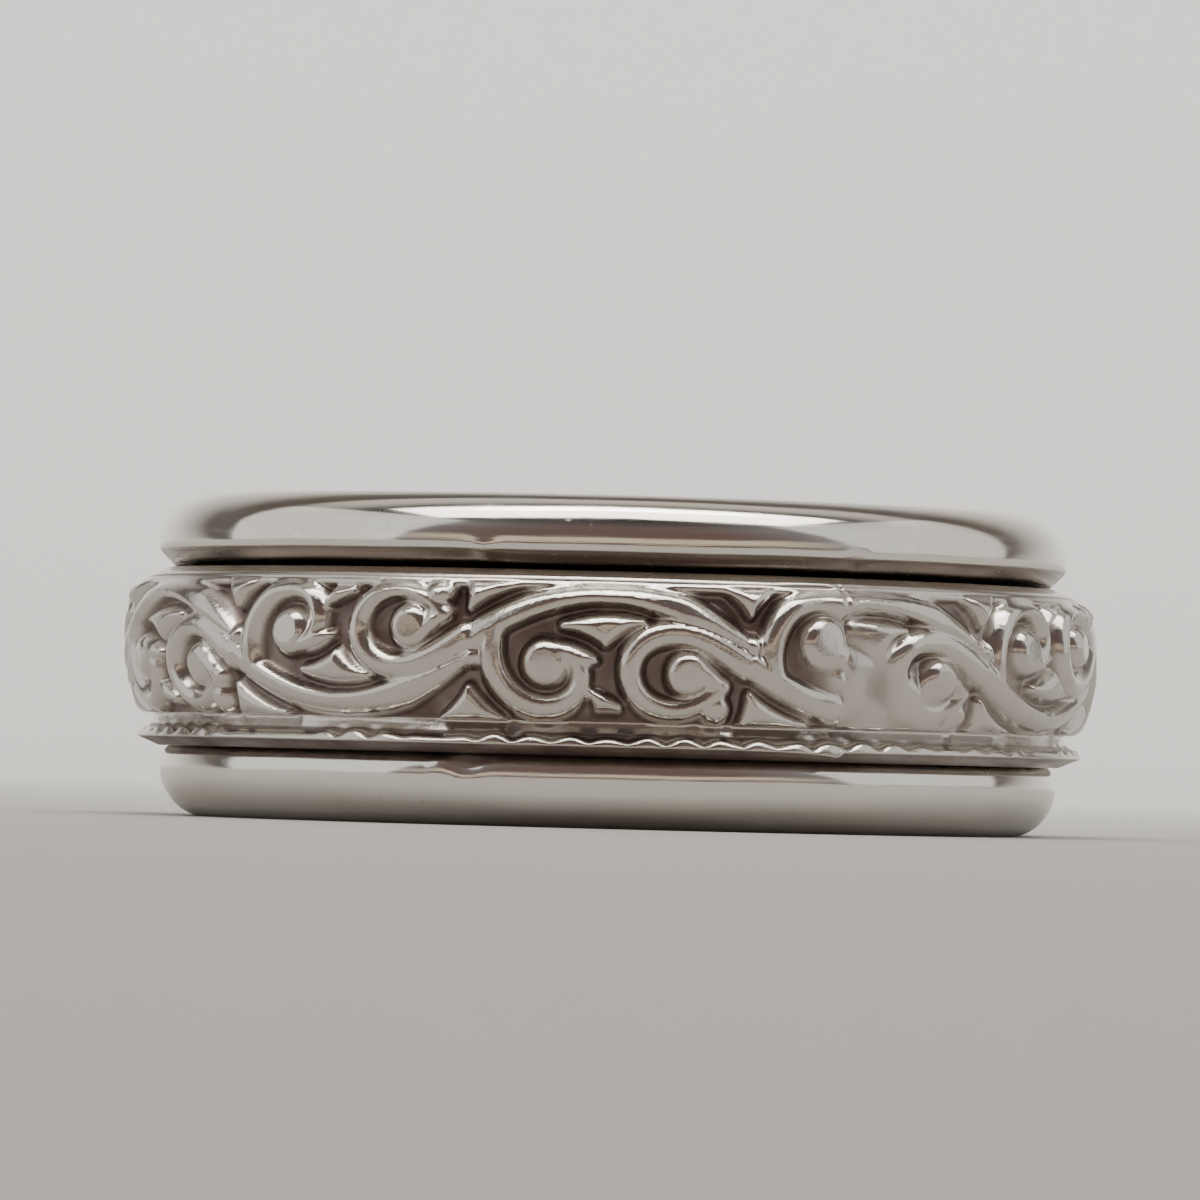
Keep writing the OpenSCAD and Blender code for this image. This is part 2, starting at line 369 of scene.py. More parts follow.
def field_points(u, depth_of, shape_of, fill_of):
    """Points of the scrolled field, row by row, and how high each one stands, from 0 to 1."""
    v = np.linspace(-half_field, half_field, FIELD_ROWS + 1)
    grid_u, grid_v = np.meshgrid(u, v)
    flat = np.stack([grid_u.ravel(), grid_v.ravel()], axis=1)
    snapped = snap(flat, depth_of, min(u[1] - u[0], v[1] - v[0]))
    for axis, half in ((0, half_pitch), (1, half_field)):
        edge = np.abs(np.abs(flat[:, axis]) - half) < 1e-9
        snapped[edge, axis] = flat[edge, axis]
    rise = wall_rise(depth_of(snapped))
    low, high = ground_r(snapped[:, 1]), top_r(snapped[:, 1])
    radius = low + (high - low + shape_of(snapped)) * rise
    if fill_of:
        radius, rise = fill_of(snapped, radius, rise)
    return np.stack([snapped[:, 0], field_mid + snapped[:, 1], radius], axis=1), rise


# %% Points of the plain rows
BORE_RISE = 0.8
COVE_RISES = (0.9, 0.1)
# Under the skirt the rise is set near 0, so the finish paints it dark as painted shade.
UNDER_SKIRT_SHADE_RISE = 0.05
BORDER_RISE = 1.0


def plain_marks(r, z):
    """How bright a plain row is, as a rise from 0 to 1, and how much of the skirt's edge it is."""
    if r > cove_r + 0.1 and z >= skirt_z:
        return (np.interp(z, (cove_z, cove_z + 0.06), COVE_RISES),
                np.interp(z, (skirt_z, cove_z, cove_z + 0.16), (0, 1, 0)))
    # The skirt's underside: a low rise, painted dark as painted shade.
    if low_rim_r - 0.1 < r < skirt_r - 0.02 and z < skirt_z:
        return UNDER_SKIRT_SHADE_RISE, 0.0
    if r >= edge_r and z > field_top:
        return BORDER_RISE, 0.0
    return BORE_RISE, 0.0


def plain_points(u, sag_of):
    """Points of the plain rows, and both marks of each."""
    points = np.array([(x, z, r) for r, z in plain_rows for x in u])
    if sag_of:
        points[:, 1] += sag_of(points)
    marks = np.array([plain_marks(r, z) for r, z in plain_rows])
    return points, np.repeat(marks, len(u), axis=0)


# %% One tile as a mesh


def tile_faces():
    """Faces of a tile; three-sided ones join the field's fine columns to the plain wide ones."""
    fine, wide = FIELD_COLUMNS + 1, FIELD_COLUMNS // 2 + 1
    top, first = FIELD_ROWS * fine, (FIELD_ROWS + 1) * fine
    last = first + (len(plain_rows) - 1) * wide
    faces = []
    for start in range(0, top, fine):
        for a in range(start, start + fine - 1):
            faces.append((a, a + 1, a + fine + 1, a + fine))
    for k in range(wide - 1):
        up, a = top + 2 * k, first + k
        faces += [(up, up + 1, a), (up + 1, up + 2, a + 1), (up + 1, a + 1, a)]
    for start in range(first, last, wide):
        for a in range(start, start + wide - 1):
            faces.append((a, a + 1, a + wide + 1, a + wide))
    for k in range(wide - 1):
        low, a = 2 * k, last + k
        faces += [(a, a + 1, low + 1), (a, low + 1, low), (a + 1, low + 2, low + 1)]
    return faces


def strip_tile(name, depth_of, shape_of, fill_of=None, sag_of=None):
    """Makes the flat tile of one scroll: how deep, how shaped, how filled with solder, how it sags.
    """
    u = np.linspace(-half_pitch, half_pitch, FIELD_COLUMNS + 1)
    field, rise = field_points(u, depth_of, shape_of, fill_of)
    plain, marks = plain_points(u[::2], sag_of)
    points = np.concatenate([field, plain])
    mesh = bpy.data.meshes.new(name)
    mesh.from_pydata((points * MM).tolist(), [], tile_faces())
    for key, first, second in (("rise", rise, marks[:, 0]),
                               ("skirt", np.zeros(len(field)), marks[:, 1])):
        values = np.concatenate([first, second]).astype(np.float32)
        mesh.attributes.new(key, "FLOAT", "POINT").data.foreach_set("value", values)
    print(name, len(points), "points", len(mesh.polygons), "faces")
    return bpy.data.objects.new(name, mesh)


# %% What a plain tile holds
BORDER_IN = 0.10
COVE_CLEAR = 0.02
BORDER_BLEND = (0.0, 0.2)


def top_border(points):
    """Depth inside the plain border over the field, which always runs along the upper edge."""
    return points[:, 1] - (half_field - BORDER_IN)


def field_depth(points, upright):
    """Depth of the pattern in a tile, with the border above and nothing raised in the cove."""
    depth = pattern_depth(points * [1, upright])[0]
    depth = np.minimum(depth, points[:, 1] + half_field - COVE_CLEAR)
    return melt(depth, top_border(points))


def field_shape(points, upright):
    """Shape of the pattern's tops in a tile; the plain border has none."""
    shape = pattern_depth(points * [1, upright])[1]
    return shape * over(-top_border(points), *BORDER_BLEND)


# %% [markdown]
# ## The soldered seam
#
# The strip's two ends meet in a tile of their own, with the pattern out of step. Solder has run
# from the joint into the hollows past it. It is made as a level that the surface is drawn to, by
# a share that is largest near the joint and fades out along the strip. Two drops fill the places
# where the patterns meet badly. The joint itself stays as a fine line, and at the skirt one end
# hangs a little lower than the other.

# %% What the seam's tile holds
SEAM_WIDTH = 0.24
SEAM_CALM = 0.6
SOLDER_EDGE = (-0.1, 0.1)
SOLDER_END = (-0.5, 0.7)
FLOOD_SHARE, BEFORE_SHARE = 0.88, 0.6
FLOOD_REACH, FLOOD_LEAN = 1.5, 1.8
BEFORE_PLACE, BEFORE_SIZE = -0.2, 0.9
SOLDER_LEVEL, SOLDER_RIPPLE = 0.62, 0.22
SOLDER_RISE, RISE_RIPPLE = 0.34, 0.3
JOINT_DEEP, JOINT_WIDE = 0.03, 0.06
DROP_COLUMNS = ("name", "past", "v", "size", "share", "fuller")
DROPS = [
    ("in the volute", -0.19, -0.42, 0.42, 0.95, 0.0),
    ("at the border", 0.00, half_field - 0.15, 0.35, 0.90, 0.2),
]


def seam_mix(value_of, points):
    """A value of the pattern, upright before the seam and upside down after its wavy edge."""
    wander = 0.05 * np.sin(points[:, 1] * 5.1) + 0.03 * np.sin(points[:, 1] * 11.7 + 1)
    after = over(points[:, 0] - seam_u - wander, -SEAM_WIDTH / 2, SEAM_WIDTH / 2)
    return value_of(points, 1) * (1 - after) + value_of(points, -1) * after


def seam_depth(points):
    """Depth of the pattern in the seam's tile."""
    return seam_mix(field_depth, points)


def seam_shape(points):
    """Shape of the tops on both sides of the seam, and none close to it."""
    away = np.abs(points[:, 0] - seam_u)
    return seam_mix(field_shape, points) * np.clip(away - SEAM_CALM, 0, 1)


def seam_fill(points, radius, rise):
    """Solder fills the hollows past the seam and softens the scrolls; a fine line is left."""
    past, v = points[:, 0] - seam_u, points[:, 1]
    ripple = 0.5 + 0.5 * np.sin(points[:, 0] * 3.1 + 1.0) * np.sin(v * 2.7 + 0.4)
    begun = over(past, *SOLDER_EDGE)
    reach = FLOOD_REACH - FLOOD_LEAN * v / half_field
    flood = begun * (1 - over(past - reach, *SOLDER_END)) * (1 - 0.5 * over(v, 0.6, 1.2))
    before = np.exp(-((past - BEFORE_PLACE) / BEFORE_SIZE) ** 2) * (1 - begun)
    share = FLOOD_SHARE * flood + BEFORE_SHARE * before
    level = SOLDER_LEVEL + SOLDER_RIPPLE * ripple
    for drop in rows(DROP_COLUMNS, DROPS):
        near = np.exp(-((past - drop["past"]) / drop["size"]) ** 2
                      - ((v - drop["v"]) / drop["size"]) ** 2)
        share = np.maximum(share, drop["share"] * near)
        level = level + drop["fuller"] * near
    solder_r = ground_r(v) + level * (top_r(v) - ground_r(v))
    joint = np.exp(-(past / JOINT_WIDE) ** 2)
    return (radius + (solder_r - radius) * share - JOINT_DEEP * joint,
            rise + (SOLDER_RISE + RISE_RIPPLE * ripple - rise) * share)


# %% How the strip's end hangs at the skirt
SAG = 0.12
SAG_BEFORE, SAG_AFTER = 0.7, 0.08
SAG_REACH = 0.27


def seam_sag(points):
    """The strip's end hangs a little lower than the start that it meets, at the skirt only."""
    past, z, r = points[:, 0] - seam_u, points[:, 1], points[:, 2]
    hang = np.where(past < 0, np.exp(past / SAG_BEFORE), np.clip(1 - past / SAG_AFTER, 0, 1))
    outer = np.clip((r - skirt_r + SAG_REACH) / 0.15, 0, 1)
    lower = np.clip((skirt_z + SAG_REACH - z) / 0.2, 0, 1)
    return -SAG * hang * outer * lower


# %% The three tiles
tiles = [
    strip_tile("tile 0 seam", seam_depth, seam_shape, seam_fill, seam_sag),
    strip_tile("tile 1 upright", lambda p: field_depth(p, 1), lambda p: field_shape(p, 1)),
    strip_tile("tile 2 upside down", lambda p: field_depth(p, -1), lambda p: field_shape(p, -1)),
]

# %% [markdown]
# ## From strip to band
#
# The eleven scrolls are laid end to end and bent round with Geometry Nodes. The tree picks the
# tile for each place: the seam's own tile first, then upright and upside down by turns. An odd
# number of scrolls is why the real strip doesn't meet itself at the seam. Bending is one Set
# Position: the length along the strip becomes an angle. The same step presses the small beads
# into the skirt's edge, because they are counted round the ring and not along a tile.

# %% A small helper for node trees


def add_node(tree, kind, settings=None, sockets=None):
    """Adds a node, sets its settings, then gives its sockets values or links."""
    node = tree.nodes.new(kind)
    for key, value in (settings or {}).items():
        setattr(node, key, value)
    for key, value in (sockets or {}).items():
        socket = node.inputs[key]
        if isinstance(value, bpy.types.NodeSocket):
            tree.links.new(value, socket)
        elif value is not None:
            socket.default_value = value
    return node


class Sum:
    """A value socket that takes part in Python maths. Each operator adds one Math node."""

    def __init__(self, tree, socket):
        self.tree, self.socket = tree, socket

    def _math(self, operation, *terms):
        sockets = {i: t.socket if isinstance(t, Sum) else t for i, t in enumerate(terms)}
        node = add_node(self.tree, "ShaderNodeMath", {"operation": operation}, sockets)
        return Sum(self.tree, node.outputs[0])

    def __add__(self, other):
        return self._math("ADD", self, other)

    __radd__ = __add__

    def __sub__(self, other):
        return self._math("SUBTRACT", self, other)

    def __rsub__(self, other):
        return self._math("SUBTRACT", other, self)

    def __mul__(self, other):
        return self._math("MULTIPLY", self, other)

    __rmul__ = __mul__

    def __truediv__(self, other):
        return self._math("DIVIDE", self, other)

    def __mod__(self, other):
        return self._math("FLOORED_MODULO", self, other)

    def __pow__(self, other):
        return self._math("POWER", self, other)

    def __abs__(self):
        return self._math("ABSOLUTE", self)

    def sin(self):
        return self._math("SINE", self)

    def cos(self):
        return self._math("COSINE", self)

    def least(self, other):
        return self._math("MINIMUM", self, other)

    def over(self, low, high):
        """0 below low, 1 above high, and a smooth rise between."""
        node = add_node(self.tree, "ShaderNodeMapRange", {"interpolation_type": "SMOOTHSTEP"},
                        {"Value": self.socket, "From Min": low, "From Max": high})
        return Sum(self.tree, node.outputs["Result"])


print("helpers ready")

# %% The tree that lays, bends and beads the strip
BEADS = 80
BEAD_H = 0.14
WORN_BEAD = 0.55
BEAD_IN = 0.3
WELD_GAP = 0.003


def strip_tree():
    """Geometry Nodes: tiles in a row, bent round the axis, with beads along the skirt."""
    tree = bpy.data.node_groups.new("bend the strip", "GeometryNodeTree")
    face = tree.interface
    for name, kind, value in (("Tiles", "NodeSocketCollection", None),
                              ("Scrolls", "NodeSocketInt", scroll_count),
                              ("Scroll length", "NodeSocketFloat", 2 * half_pitch * MM),
                              ("Pattern radius", "NodeSocketFloat", scroll_r * MM),
                              ("First scroll", "NodeSocketFloat", 0.0),
                              ("Beads", "NodeSocketInt", BEADS),
                              ("Bead height", "NodeSocketFloat", BEAD_H * MM),
                              ("Finish", "NodeSocketMaterial", None)):
        socket = face.new_socket(name, in_out="INPUT", socket_type=kind)
        if value is not None:
            socket.default_value = value
    face.new_socket("Band", in_out="OUTPUT", socket_type="NodeSocketGeometry")
    given = tree.nodes.new("NodeGroupInput").outputs

    def value(socket):
        return Sum(tree, socket)

    step = add_node(tree, "ShaderNodeCombineXYZ", sockets={"X": given["Scroll length"]})
    line = add_node(tree, "GeometryNodeMeshLine", {"mode": "OFFSET"},
                    {"Count": given["Scrolls"], "Offset": step.outputs[0]})
    place = value(add_node(tree, "GeometryNodeInputIndex").outputs[0])
    pick = place.least(1) * ((place + 1) % 2 + 1)
    tiles_in = add_node(tree, "GeometryNodeCollectionInfo", None,
                        {"Collection": given["Tiles"], "Separate Children": True,
                         "Reset Children": True})
    laid = add_node(tree, "GeometryNodeInstanceOnPoints", None,
                    {"Points": line.outputs[0], "Instance": tiles_in.outputs[0],
                     "Pick Instance": True, "Instance Index": pick.socket})
    strip = add_node(tree, "GeometryNodeRealizeInstances", None, {"Geometry": laid.outputs[0]})

    spot = add_node(tree, "ShaderNodeSeparateXYZ", None,
                    {0: add_node(tree, "GeometryNodeInputPosition").outputs[0]})
    along, up, out = (value(spot.outputs[i]) for i in range(3))
    turn = along / value(given["Pattern radius"]) + value(given["First scroll"])
    skirt = value(add_node(tree, "GeometryNodeInputNamedAttribute", {"data_type": "FLOAT"},
                           {"Name": "skirt"}).outputs[0])
    dip = 1 - abs((turn * value(given["Beads"]) * 0.5).cos())
    worn = value(add_node(tree, "ShaderNodeTexNoise", {"noise_dimensions": "1D"},
                          {"W": (turn * 3).socket, "Scale": 1.0, "Detail": 1.0}).outputs[0])
    fresh = worn.over(0.35, 0.6)
    press = skirt * value(given["Bead height"]) * (dip * fresh + (1 - fresh) * WORN_BEAD)
    out = out - press * BEAD_IN
    up = up - press
    bent = add_node(tree, "ShaderNodeCombineXYZ", None,
                    {"X": (out * turn.sin()).socket, "Y": (out * turn.cos() * -1).socket,
                     "Z": up.socket})
    band = add_node(tree, "GeometryNodeSetPosition", None,
                    {"Geometry": strip.outputs[0], "Position": bent.outputs[0]})
    joined = add_node(tree, "GeometryNodeMergeByDistance", None,
                      {"Geometry": band.outputs[0], "Distance": WELD_GAP * MM})
    smooth = add_node(tree, "GeometryNodeSetShadeSmooth", None, {"Geometry": joined.outputs[0]})
    silver = add_node(tree, "GeometryNodeSetMaterial", None,
                      {"Geometry": smooth.outputs[0], "Material": given["Finish"]})
    end = tree.nodes.new("NodeGroupOutput")
    tree.links.new(silver.outputs[0], end.inputs[0])
    return tree


def grown(name, tree, inputs):
    """Runs a tree on an empty mesh and returns its result as a plain mesh object."""
    holder = bpy.data.objects.new(name + " holder", bpy.data.meshes.new(name + " holder"))
    bpy.context.scene.collection.objects.link(holder)
    modifier = holder.modifiers.new("tree", "NODES")
    modifier.node_group = tree
    sockets = {item.name: item.identifier for item in tree.interface.items_tree
               if item.item_type == "SOCKET" and item.in_out == "INPUT"}
    for key, value in inputs.items():
        modifier[sockets[key]] = value
    bpy.context.view_layer.update()
    result = holder.evaluated_get(bpy.context.evaluated_depsgraph_get())
    mesh = bpy.data.meshes.new_from_object(result)
    mesh.name = name
    bpy.data.objects.remove(holder)
    made = bpy.data.objects.new(name, mesh)
    bpy.context.scene.collection.objects.link(made)
    triangles = sum(len(p.vertices) - 2 for p in mesh.polygons)
    print(name, len(mesh.vertices), "points", triangles, "triangles")
    return made


# %% [markdown]
# ## The base ring
#
# The sleeve and its rims are one turned form, so the mesh is one outline carried round the axis.
# The outline is drawn from the named sizes with real arcs, so that the polished domes reflect the
# studio without facets. A ring that has been worn isn't perfect: the outline wavers by a few
# hundredths of a millimetre on its way round, and the arrises carry the few nicks and lumps of
# solder that show. Each mark is a row in a table: where it is, how wide it is and how high.

# %% Outline of the base ring
ARRIS_IN, ARRIS_DROP = 0.025, 0.03
FILLET_IN, FILLET_UP = 0.03, 0.04


def dome(rim_r, arris_z, base_z, way):
    """Outline of one rim's dome from the arris to the flat land; way is 1 for a lower rim."""
    centre_z = base_z + way * (dome_r - land_cut)
    lowest = math.degrees(math.acos((dome_r - land_cut) / dome_r))
    points = arc(rim_r - dome_r, centre_z, dome_r, 0, -way * (90 - lowest), 14)
    return [(rim_r - ARRIS_IN, arris_z), (rim_r, arris_z - way * ARRIS_DROP), *points]


def base_outline():
    """Closed outline (r, z) of the base ring, from the lower land outwards and up to the bore."""
    low = dome(low_rim_r, low_arris_z, 0.0, 1)
    top = dome(top_rim_r, top_arris_z, ring_h, -1)
    low_cone = [(r, low_arris_z + low_rim_r - r)
                for r in (sleeve_r + FILLET_IN, sleeve_r + 0.3, low_rim_r - 0.07)]
    top_cone = [(r, top_arris_z - top_rim_r + r)
                for r in (sleeve_r + FILLET_IN, sleeve_r + 0.35, top_rim_r - 0.07)]
    sleeve = [(sleeve_r, low_arris_z + low_rim_r - sleeve_r + FILLET_UP),
              (sleeve_r, top_arris_z - top_rim_r + sleeve_r - FILLET_UP)]
    edge = bore_r + bore_edge_r
    top_edge = arc(edge, ring_h - bore_edge_r, bore_edge_r, 90, 180, 6)
    low_edge = arc(edge, bore_edge_r, bore_edge_r, 180, 270, 6)
    return (low[::-1] + low_cone[::-1] + sleeve + top_cone + top + top_edge
            + [(bore_r, ring_h * 0.66), (bore_r, ring_h * 0.33)] + low_edge)


outline = base_outline()
print("base outline has", len(outline), "points")

# %% Marks and waver of the base ring
MARK_COLUMNS = ("name", "angle", "r", "z", "wide", "across", "out", "up")
MARKS = [
    ("solder lump", -15.9, 10.80, 6.30, 0.22, 0.16, 0.06, -0.05),
    ("top nick", 31.0, 10.80, 6.30, 0.25, 0.14, -0.05, 0.05),
    ("low step", -17.6, 10.65, 1.45, 0.35, 0.16, -0.07, -0.06),
    ("low lump", -21.0, 10.62, 1.40, 0.20, 0.14, 0.04, 0.03),
    ("dent left", -58.0, 10.72, 6.80, 0.50, 0.40, -0.02, 0.0),
    ("dent right", 52.0, 10.55, 0.85, 0.60, 0.40, -0.02, 0.0),
    ("dent back", 140.0, 10.70, 6.85, 0.60, 0.35, -0.03, 0.0),
    ("nick back", 200.0, 10.65, 1.45, 0.25, 0.14, -0.05, -0.04),
    ("dent far", 250.0, 10.50, 0.80, 0.45, 0.35, -0.025, 0.0),
]


WAVE_COLUMNS = ("name", "height", "count", "phase")
WAVES = [
    ("slow", 0.012, 3, 1.0),
    ("middle", 0.009, 7, 2.3),
    ("quick", 0.006, 17, 4.1),
]


def waver(turn, seed):
    """A wander round the ring, in millimetres: waves with a whole number of crests each."""
    return sum(wave["height"] * np.sin(wave["count"] * turn + wave["phase"] * seed)
               for wave in rows(WAVE_COLUMNS, WAVES))


# %% Turn it
RIM_FADE = 0.4
LAND_FADE = 0.3
RADIUS_SEED, HEIGHT_SEED = 1.0, 5.0


def turned(name, outline, columns):
    """Carries a closed outline round the axis and returns the mesh object."""
    outline = np.array(outline)
    turn = np.arange(columns) / columns * 2 * math.pi
    around, r = np.meshgrid(turn, outline[:, 0])
    z = np.repeat(outline[:, 1:], columns, axis=1)
    outside = np.clip((r - sleeve_r) / RIM_FADE, 0, 1)
    r = r + outside * waver(around, RADIUS_SEED)
    inner = np.clip(np.minimum(z - 0.02, ring_h - 0.02 - z) / LAND_FADE, 0, 1)
    z = z + outside * inner * waver(around, HEIGHT_SEED)
    for mark in rows(MARK_COLUMNS, MARKS):
        away = (around - math.radians(mark["angle"]) + math.pi) % (2 * math.pi) - math.pi
        near = np.exp(-((away * mark["r"] / mark["wide"]) ** 2)
                      - ((r - mark["r"]) ** 2 + (z - mark["z"]) ** 2) / mark["across"] ** 2)
        r, z = r + mark["out"] * near, z + mark["up"] * near
    points = np.stack([r * np.sin(around), -r * np.cos(around), z], axis=2).reshape(-1, 3)
    faces = []
    for j in range(len(outline)):
        low, high = j * columns, (j + 1) % len(outline) * columns
        for i in range(columns):
            k = (i + 1) % columns
            faces.append((low + i, low + k, high + k, high + i))
    mesh = bpy.data.meshes.new(name)
    mesh.from_pydata((points * MM).tolist(), [], faces)
    mesh.shade_smooth()
    made = bpy.data.objects.new(name, mesh)
    bpy.context.scene.collection.objects.link(made)
    print(name, len(points), "points", 2 * len(faces), "triangles")
    return made


# %% [markdown]
# ## Silver
#
# Polished silver is nearly a mirror, and what makes it look real is what the mirror is not: a
# film of fine scratches, mostly running round the ring, patches of soft haze, and a warm tint
# where the polish has thinned. In the channel between the rims it is painted dark brown, partly
# as tarnish and partly as painted shade. Struck silver keeps the same bright tops, but its
# hollows hold polishing dirt and tarnish, so they are browner and duller. The underside of the
# skirt is painted dark the same way, as painted shade. The depth of each point is stored on the
# mesh as an attribute, and the finish reads it.

# %% A finish and its parts


class Finish:
    """A material whose nodes are added through one method."""

    def __init__(self, name):
        self.material = bpy.data.materials.new(name)
        self.material.use_nodes = True
        self.tree = self.material.node_tree
        self.shader = self.tree.nodes["Principled BSDF"]
        self.place = self.node("ShaderNodeTexCoord").outputs["Object"]

    def node(self, kind, settings=None, sockets=None):
        plain = {k: v.socket if isinstance(v, Sum) else v for k, v in (sockets or {}).items()}
        return add_node(self.tree, kind, settings, plain)

    def value(self, socket):
        return Sum(self.tree, socket)

    def noise(self, scale, detail=2.0, rough=0.5):
        """Noise with features about 1 / scale millimetres wide."""
        size = (scale * 1000,) * 3
        moved = self.node("ShaderNodeMapping", None, {"Vector": self.place, "Scale": size})
        texture = self.node("ShaderNodeTexNoise", None,
                            {"Vector": moved.outputs[0], "Scale": 1.0, "Detail": detail,
                             "Roughness": rough})
        return self.value(texture.outputs[0])

    def round_noise(self, scale, stretch, detail=2.0):
        """Noise drawn out round the ring: fine along the finger, and stretched across it."""
        spot = self.node("ShaderNodeSeparateXYZ", None, {0: self.place})
        x, y, z = (self.value(spot.outputs[i]) for i in range(3))
        out = (x * x + y * y) ** 0.5
        moved = self.node("ShaderNodeCombineXYZ", None,
                          {0: x * scale * 1000 / stretch, 1: y * scale * 1000 / stretch,
                           2: (z + out * 0.7) * (scale * 1000)})
        texture = self.node("ShaderNodeTexNoise", None,
                            {"Vector": moved.outputs[0], "Scale": 1.0, "Detail": detail})
        return self.value(texture.outputs[0])

    def mix(self, share, low, high):
        """Colour that goes from low to high with share."""
        blend = self.node("ShaderNodeMix", {"data_type": "RGBA"},
                          {0: share, 6: low, 7: high})
        return blend.outputs[2]

    def feed(self, **sockets):
        """Gives the shader's own sockets a number, a colour or a link."""
        for key, value in sockets.items():
            socket = self.shader.inputs[key.replace("_", " ")]
            if isinstance(value, Sum):
                value = value.socket
            if isinstance(value, bpy.types.NodeSocket):
                self.tree.links.new(value, socket)
            else:
                socket.default_value = value

    def bump(self, height, strength, depth):
        """A Bump node fed by a height from 0 to 1 that stands for depth millimetres."""
        bump = self.node("ShaderNodeBump", None,
                         {"Height": height, "Strength": strength, "Distance": depth * MM})
        self.feed(Normal=bump.outputs[0])


# %% Polished silver
POLISHED, WARM_POLISHED = (0.80, 0.78, 0.74, 1), (0.79, 0.72, 0.63, 1)
# The second colour here is the dark brown painted into the channel: tarnish and painted shade.
FLECK, CHANNEL_TARNISH_AND_SHADE = (0.45, 0.40, 0.36, 1), (0.22, 0.17, 0.14, 1)


def polished_silver():
    """The rims and the sleeve. In the channel between the rims it is rougher and painted dark
    brown, partly as tarnish and partly as painted shade.
    """
    finish = Finish("polished silver")
    haze = finish.noise(0.35, detail=3.0)
    lines = finish.round_noise(14, 30, detail=3.0)
    fine = finish.round_noise(45, 40, detail=2.0)
    flecks = finish.noise(3.2, detail=4.0, rough=0.7).over(0.62, 0.72)
    warm = finish.noise(0.22, detail=1.0).over(0.45, 0.75)
    clean = finish.mix(warm * 0.6, POLISHED, WARM_POLISHED)
    worn = finish.mix(flecks * 0.25, clean, FLECK)
    spot = finish.node("ShaderNodeSeparateXYZ", None, {0: finish.place})
    x, y, z = (finish.value(spot.outputs[i]) * 1000 for i in range(3))
    outside = ((x * x + y * y) ** 0.5).over(sleeve_r - 0.3, sleeve_r - 0.1)
    over_foot = z.over(low_arris_z + 0.3, low_arris_z + 0.6)
    channel = over_foot * (1 - z.over(top_arris_z - 0.03, top_arris_z + 0.03))
    # The channel between the rims, outside the sleeve, is painted dark brown: partly tarnish,
    # partly painted shade.
    channel_tarnish_and_shade = outside * channel * (haze * 0.5 + 0.6)
    scratched = lines.over(0.45, 0.8) * 0.07
    finish.feed(Metallic=1.0,
                Base_Color=finish.mix(channel_tarnish_and_shade.least(1), worn, CHANNEL_TARNISH_AND_SHADE),
                Roughness=haze * 0.08 + scratched + flecks * 0.15 + channel_tarnish_and_shade * 0.15 + 0.06)
    finish.bump(lines * 0.5 + fine * 0.3 + haze * 2.0, 0.35, 0.006)
    return finish.material


# %% Struck silver
STRUCK, BLOTCHED = (0.62, 0.59, 0.55, 1), (0.44, 0.395, 0.37, 1)
# The dark brown of tarnish in the hollows, also painted under the skirt as painted shade.
TARNISH_AND_SHADE = (0.16, 0.115, 0.105, 1)


def struck_silver():
    """The band: bright tops, softly blotched, and rough brown hollows, cleaner on its right.
    The underside of the skirt is painted dark like a hollow, as painted shade.
    """
    finish = Finish("struck silver")
    stored = finish.node("ShaderNodeAttribute", {"attribute_name": "rise"})
    rise = finish.value(stored.outputs["Fac"])
    cloud = finish.noise(0.9, detail=4.0, rough=0.6)
    grain = finish.noise(9.0, detail=3.0, rough=0.6)
    fine = finish.noise(28.0, detail=2.0)
    # A low rise means a hollow, and also the skirt's underside, which has a low rise as painted
    # shade.
    hollow = 1 - rise.over(0.05, 0.60)
    spot = finish.node("ShaderNodeSeparateXYZ", None, {0: finish.place})
    rubbed = (finish.value(spot.outputs[0]) * 1000).over(3.5, 9.0)
    dirt_and_shade = (hollow * (cloud * 0.7 + 0.55) * (1 - rubbed * 0.35)).least(1)
    blotch = finish.noise(1.6, detail=3.0).over(0.56, 0.74) * 0.25
    bright = finish.mix(blotch, STRUCK, BLOTCHED)
    finish.feed(Metallic=1.0,
                Base_Color=finish.mix(dirt_and_shade, bright, TARNISH_AND_SHADE),
                Roughness=dirt_and_shade * 0.30 + cloud * 0.10 + grain.over(0.5, 0.8) * 0.05 + 0.10)
    finish.bump(grain * 0.7 + fine * 0.3 + cloud * 3.2, 0.45, 0.012)
    return finish.material


silver = polished_silver()
struck = struck_silver()
for metal in (silver, struck):
    print(metal.name, len(metal.node_tree.nodes), "nodes")

# %% Make both pieces and set them on their bodies
BASE_COLUMNS = 384
base = turned("base_silver", outline, BASE_COLUMNS)
base.data.materials.append(silver)

tile_box = bpy.data.collections.new("tiles")
for tile in tiles:
    tile_box.objects.link(tile)
first = math.radians(seam_angle - seam_cut * 180 / scroll_count)
band = grown("band_silver", strip_tree(),
             {"Tiles": tile_box, "First scroll": first, "Finish": struck})

for tile in tiles:
    bpy.data.objects.remove(tile)
bpy.data.collections.remove(tile_box)
for piece, node, body, slot in ((base, "base_ring", "base", "polished_silver"),
                                (band, "spinner_band", "spinner", "cast_silver")):
    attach(piece, body)
    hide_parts(node)

# %% [markdown]
# ## The studio
#
# Bright metal shows its surroundings more than itself. On the real ring slopes that look up are
# white, flats that face the viewer are brown or grey, and the ends, which look sideways, are a
# silvery grey. Three soft boxes give that: one above and a little in front, and one on each side.
# A fourth lights the backdrop alone. The room does the rest: it is brown in front of the ring,
# with a warm strip low down that draws a warm line along the rims, and its ceiling is dark in
# front and bright behind. The ring lies on a plain pale floor that curves up into the backdrop.

# %% Floor and backdrop
FLOOR_PAINT = (0.45, 0.445, 0.433, 1)


